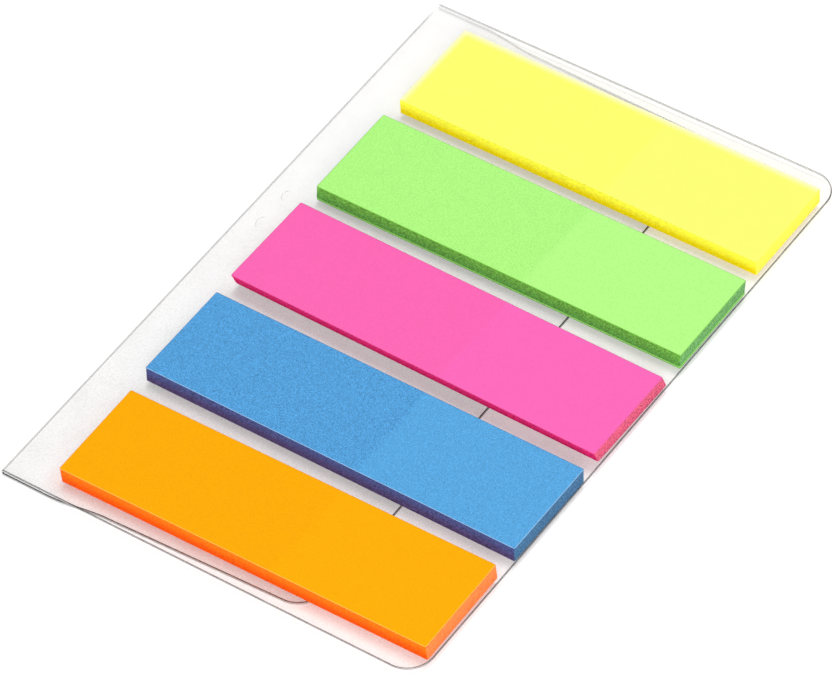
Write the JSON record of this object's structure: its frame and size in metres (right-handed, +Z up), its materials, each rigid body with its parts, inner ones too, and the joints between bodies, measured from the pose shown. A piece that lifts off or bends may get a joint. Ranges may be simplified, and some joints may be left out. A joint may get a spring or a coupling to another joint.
{
  "type": "sticky index tabs",
  "caption": "Bright pads of sticky index tabs side by side on a clear film that is folded double to slip over a page or cover.",
  "frame": {"origin": "under the middle of the folded film, on the underside that it lies on", "axes": "+X along the tabs from the film's fold to its open edge, +Y across the row of pads towards the yellow one, +Z up out of the tabs' faces"},
  "size_m": [0.0508, 0.0766, 0.0026],
  "materials": {
    "clear_film": "clear, glossy",
    "yellow_tab": "matte fluorescent film",
    "green_tab": "matte fluorescent film",
    "pink_tab": "matte fluorescent film",
    "blue_tab": "matte film",
    "orange_tab": "matte fluorescent film"
  },
  "bodies": {
    "root": {"clear_film": "clear_film", "yellow_pad": "yellow_tab", "green_pad": "green_tab", "pink_pad": "pink_tab", "blue_pad": "blue_tab", "orange_pad": "orange_tab"}
  },
  "joints": []
}
